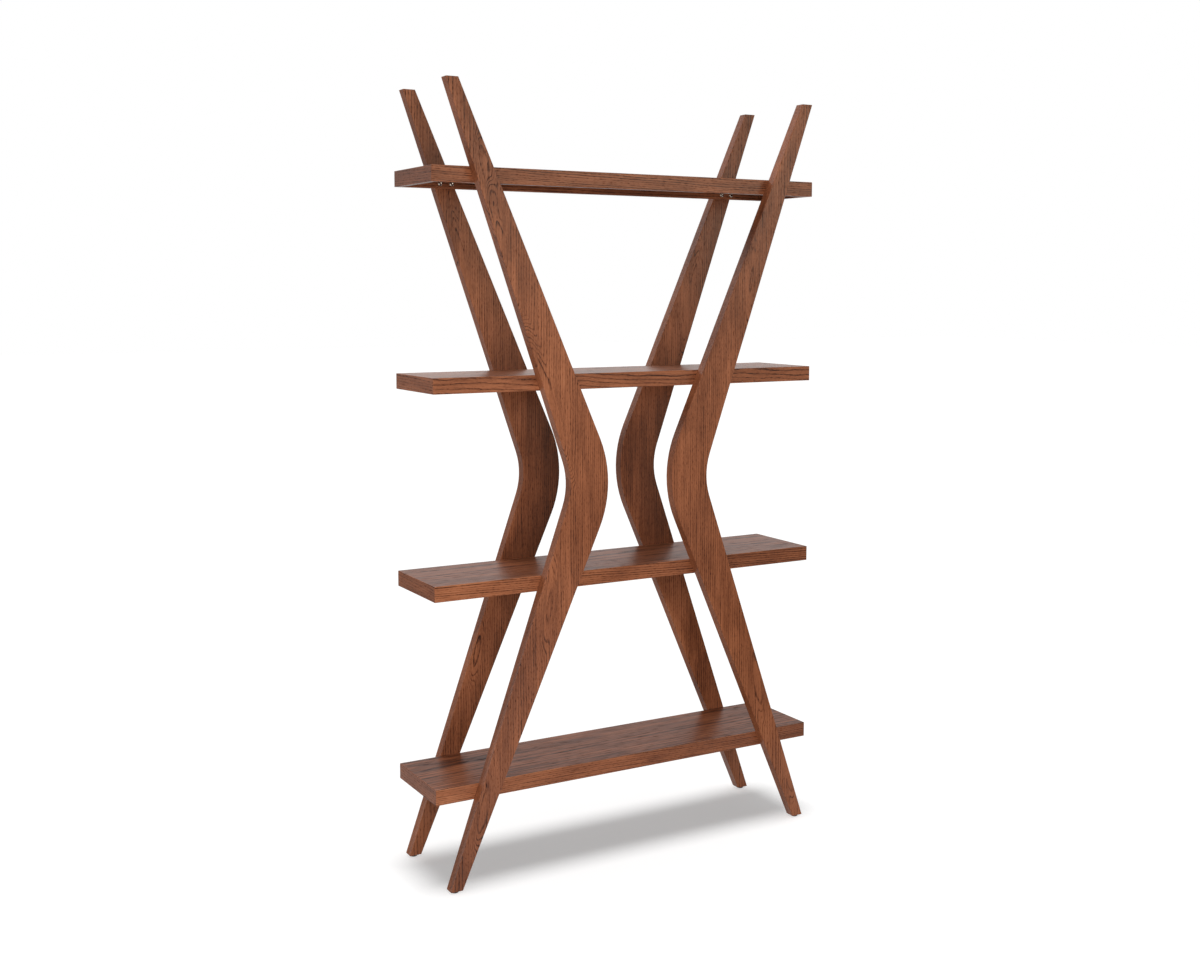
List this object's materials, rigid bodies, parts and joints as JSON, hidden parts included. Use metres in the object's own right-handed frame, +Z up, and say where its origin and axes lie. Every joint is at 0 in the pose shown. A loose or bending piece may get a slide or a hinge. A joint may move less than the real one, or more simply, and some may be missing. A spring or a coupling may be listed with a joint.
{
  "type": "shelving unit",
  "caption": "Open shelving unit: long hollow wooden shelves bolted between pairs of tapering boomerang-shaped legs that pinch in at the waist and rise above the top shelf.",
  "frame": {"origin": "on the floor, at the middle of the unit's length and depth", "axes": "+X along the shelves to the right seen from the front, -Y to the front, +Z up"},
  "size_m": [1.15, 0.292, 2.008],
  "materials": {
    "leg_wood": "brown-stained open-grained solid wood, satin lacquer",
    "shelf_wood": "brown-stained open-grained veneer, satin lacquer",
    "bolt_steel": "bright zinc-plated steel",
    "washer_steel": "bright zinc-plated steel",
    "insert_brass": "turned brass",
    "glide_plastic": "moulded black polyethylene",
    "nail_steel": "plain wire nail"
  },
  "bodies": {
    "root": {"front_left_leg": "leg_wood", "front_right_leg": "leg_wood", "rear_left_leg": "leg_wood", "rear_right_leg": "leg_wood", "bottom_shelf_panel": "shelf_wood", "bottom_shelf_front_rail": "shelf_wood", "bottom_shelf_rear_rail": "shelf_wood", "bottom_shelf_left_rail": "shelf_wood", "bottom_shelf_right_rail": "shelf_wood", "lower_shelf_panel": "shelf_wood", "lower_shelf_front_rail": "shelf_wood", "lower_shelf_rear_rail": "shelf_wood", "lower_shelf_left_rail": "shelf_wood", "lower_shelf_right_rail": "shelf_wood", "upper_shelf_panel": "shelf_wood", "upper_shelf_front_rail": "shelf_wood", "upper_shelf_rear_rail": "shelf_wood", "upper_shelf_left_rail": "shelf_wood", "upper_shelf_right_rail": "shelf_wood", "top_shelf_panel": "shelf_wood", "top_shelf_front_rail": "shelf_wood", "top_shelf_rear_rail": "shelf_wood", "top_shelf_left_rail": "shelf_wood", "top_shelf_right_rail": "shelf_wood", "bottom_shelf_bolts": "bolt_steel", "bottom_shelf_washers": "washer_steel", "bottom_shelf_inserts": "insert_brass", "lower_shelf_bolts": "bolt_steel", "lower_shelf_washers": "washer_steel", "lower_shelf_inserts": "insert_brass", "upper_shelf_bolts": "bolt_steel", "upper_shelf_washers": "washer_steel", "upper_shelf_inserts": "insert_brass", "top_shelf_bolts": "bolt_steel", "top_shelf_washers": "washer_steel", "top_shelf_inserts": "insert_brass", "front_left_glide": "glide_plastic", "front_right_glide": "glide_plastic", "rear_left_glide": "glide_plastic", "rear_right_glide": "glide_plastic", "glide_nails": "nail_steel"}
  },
  "joints": []
}
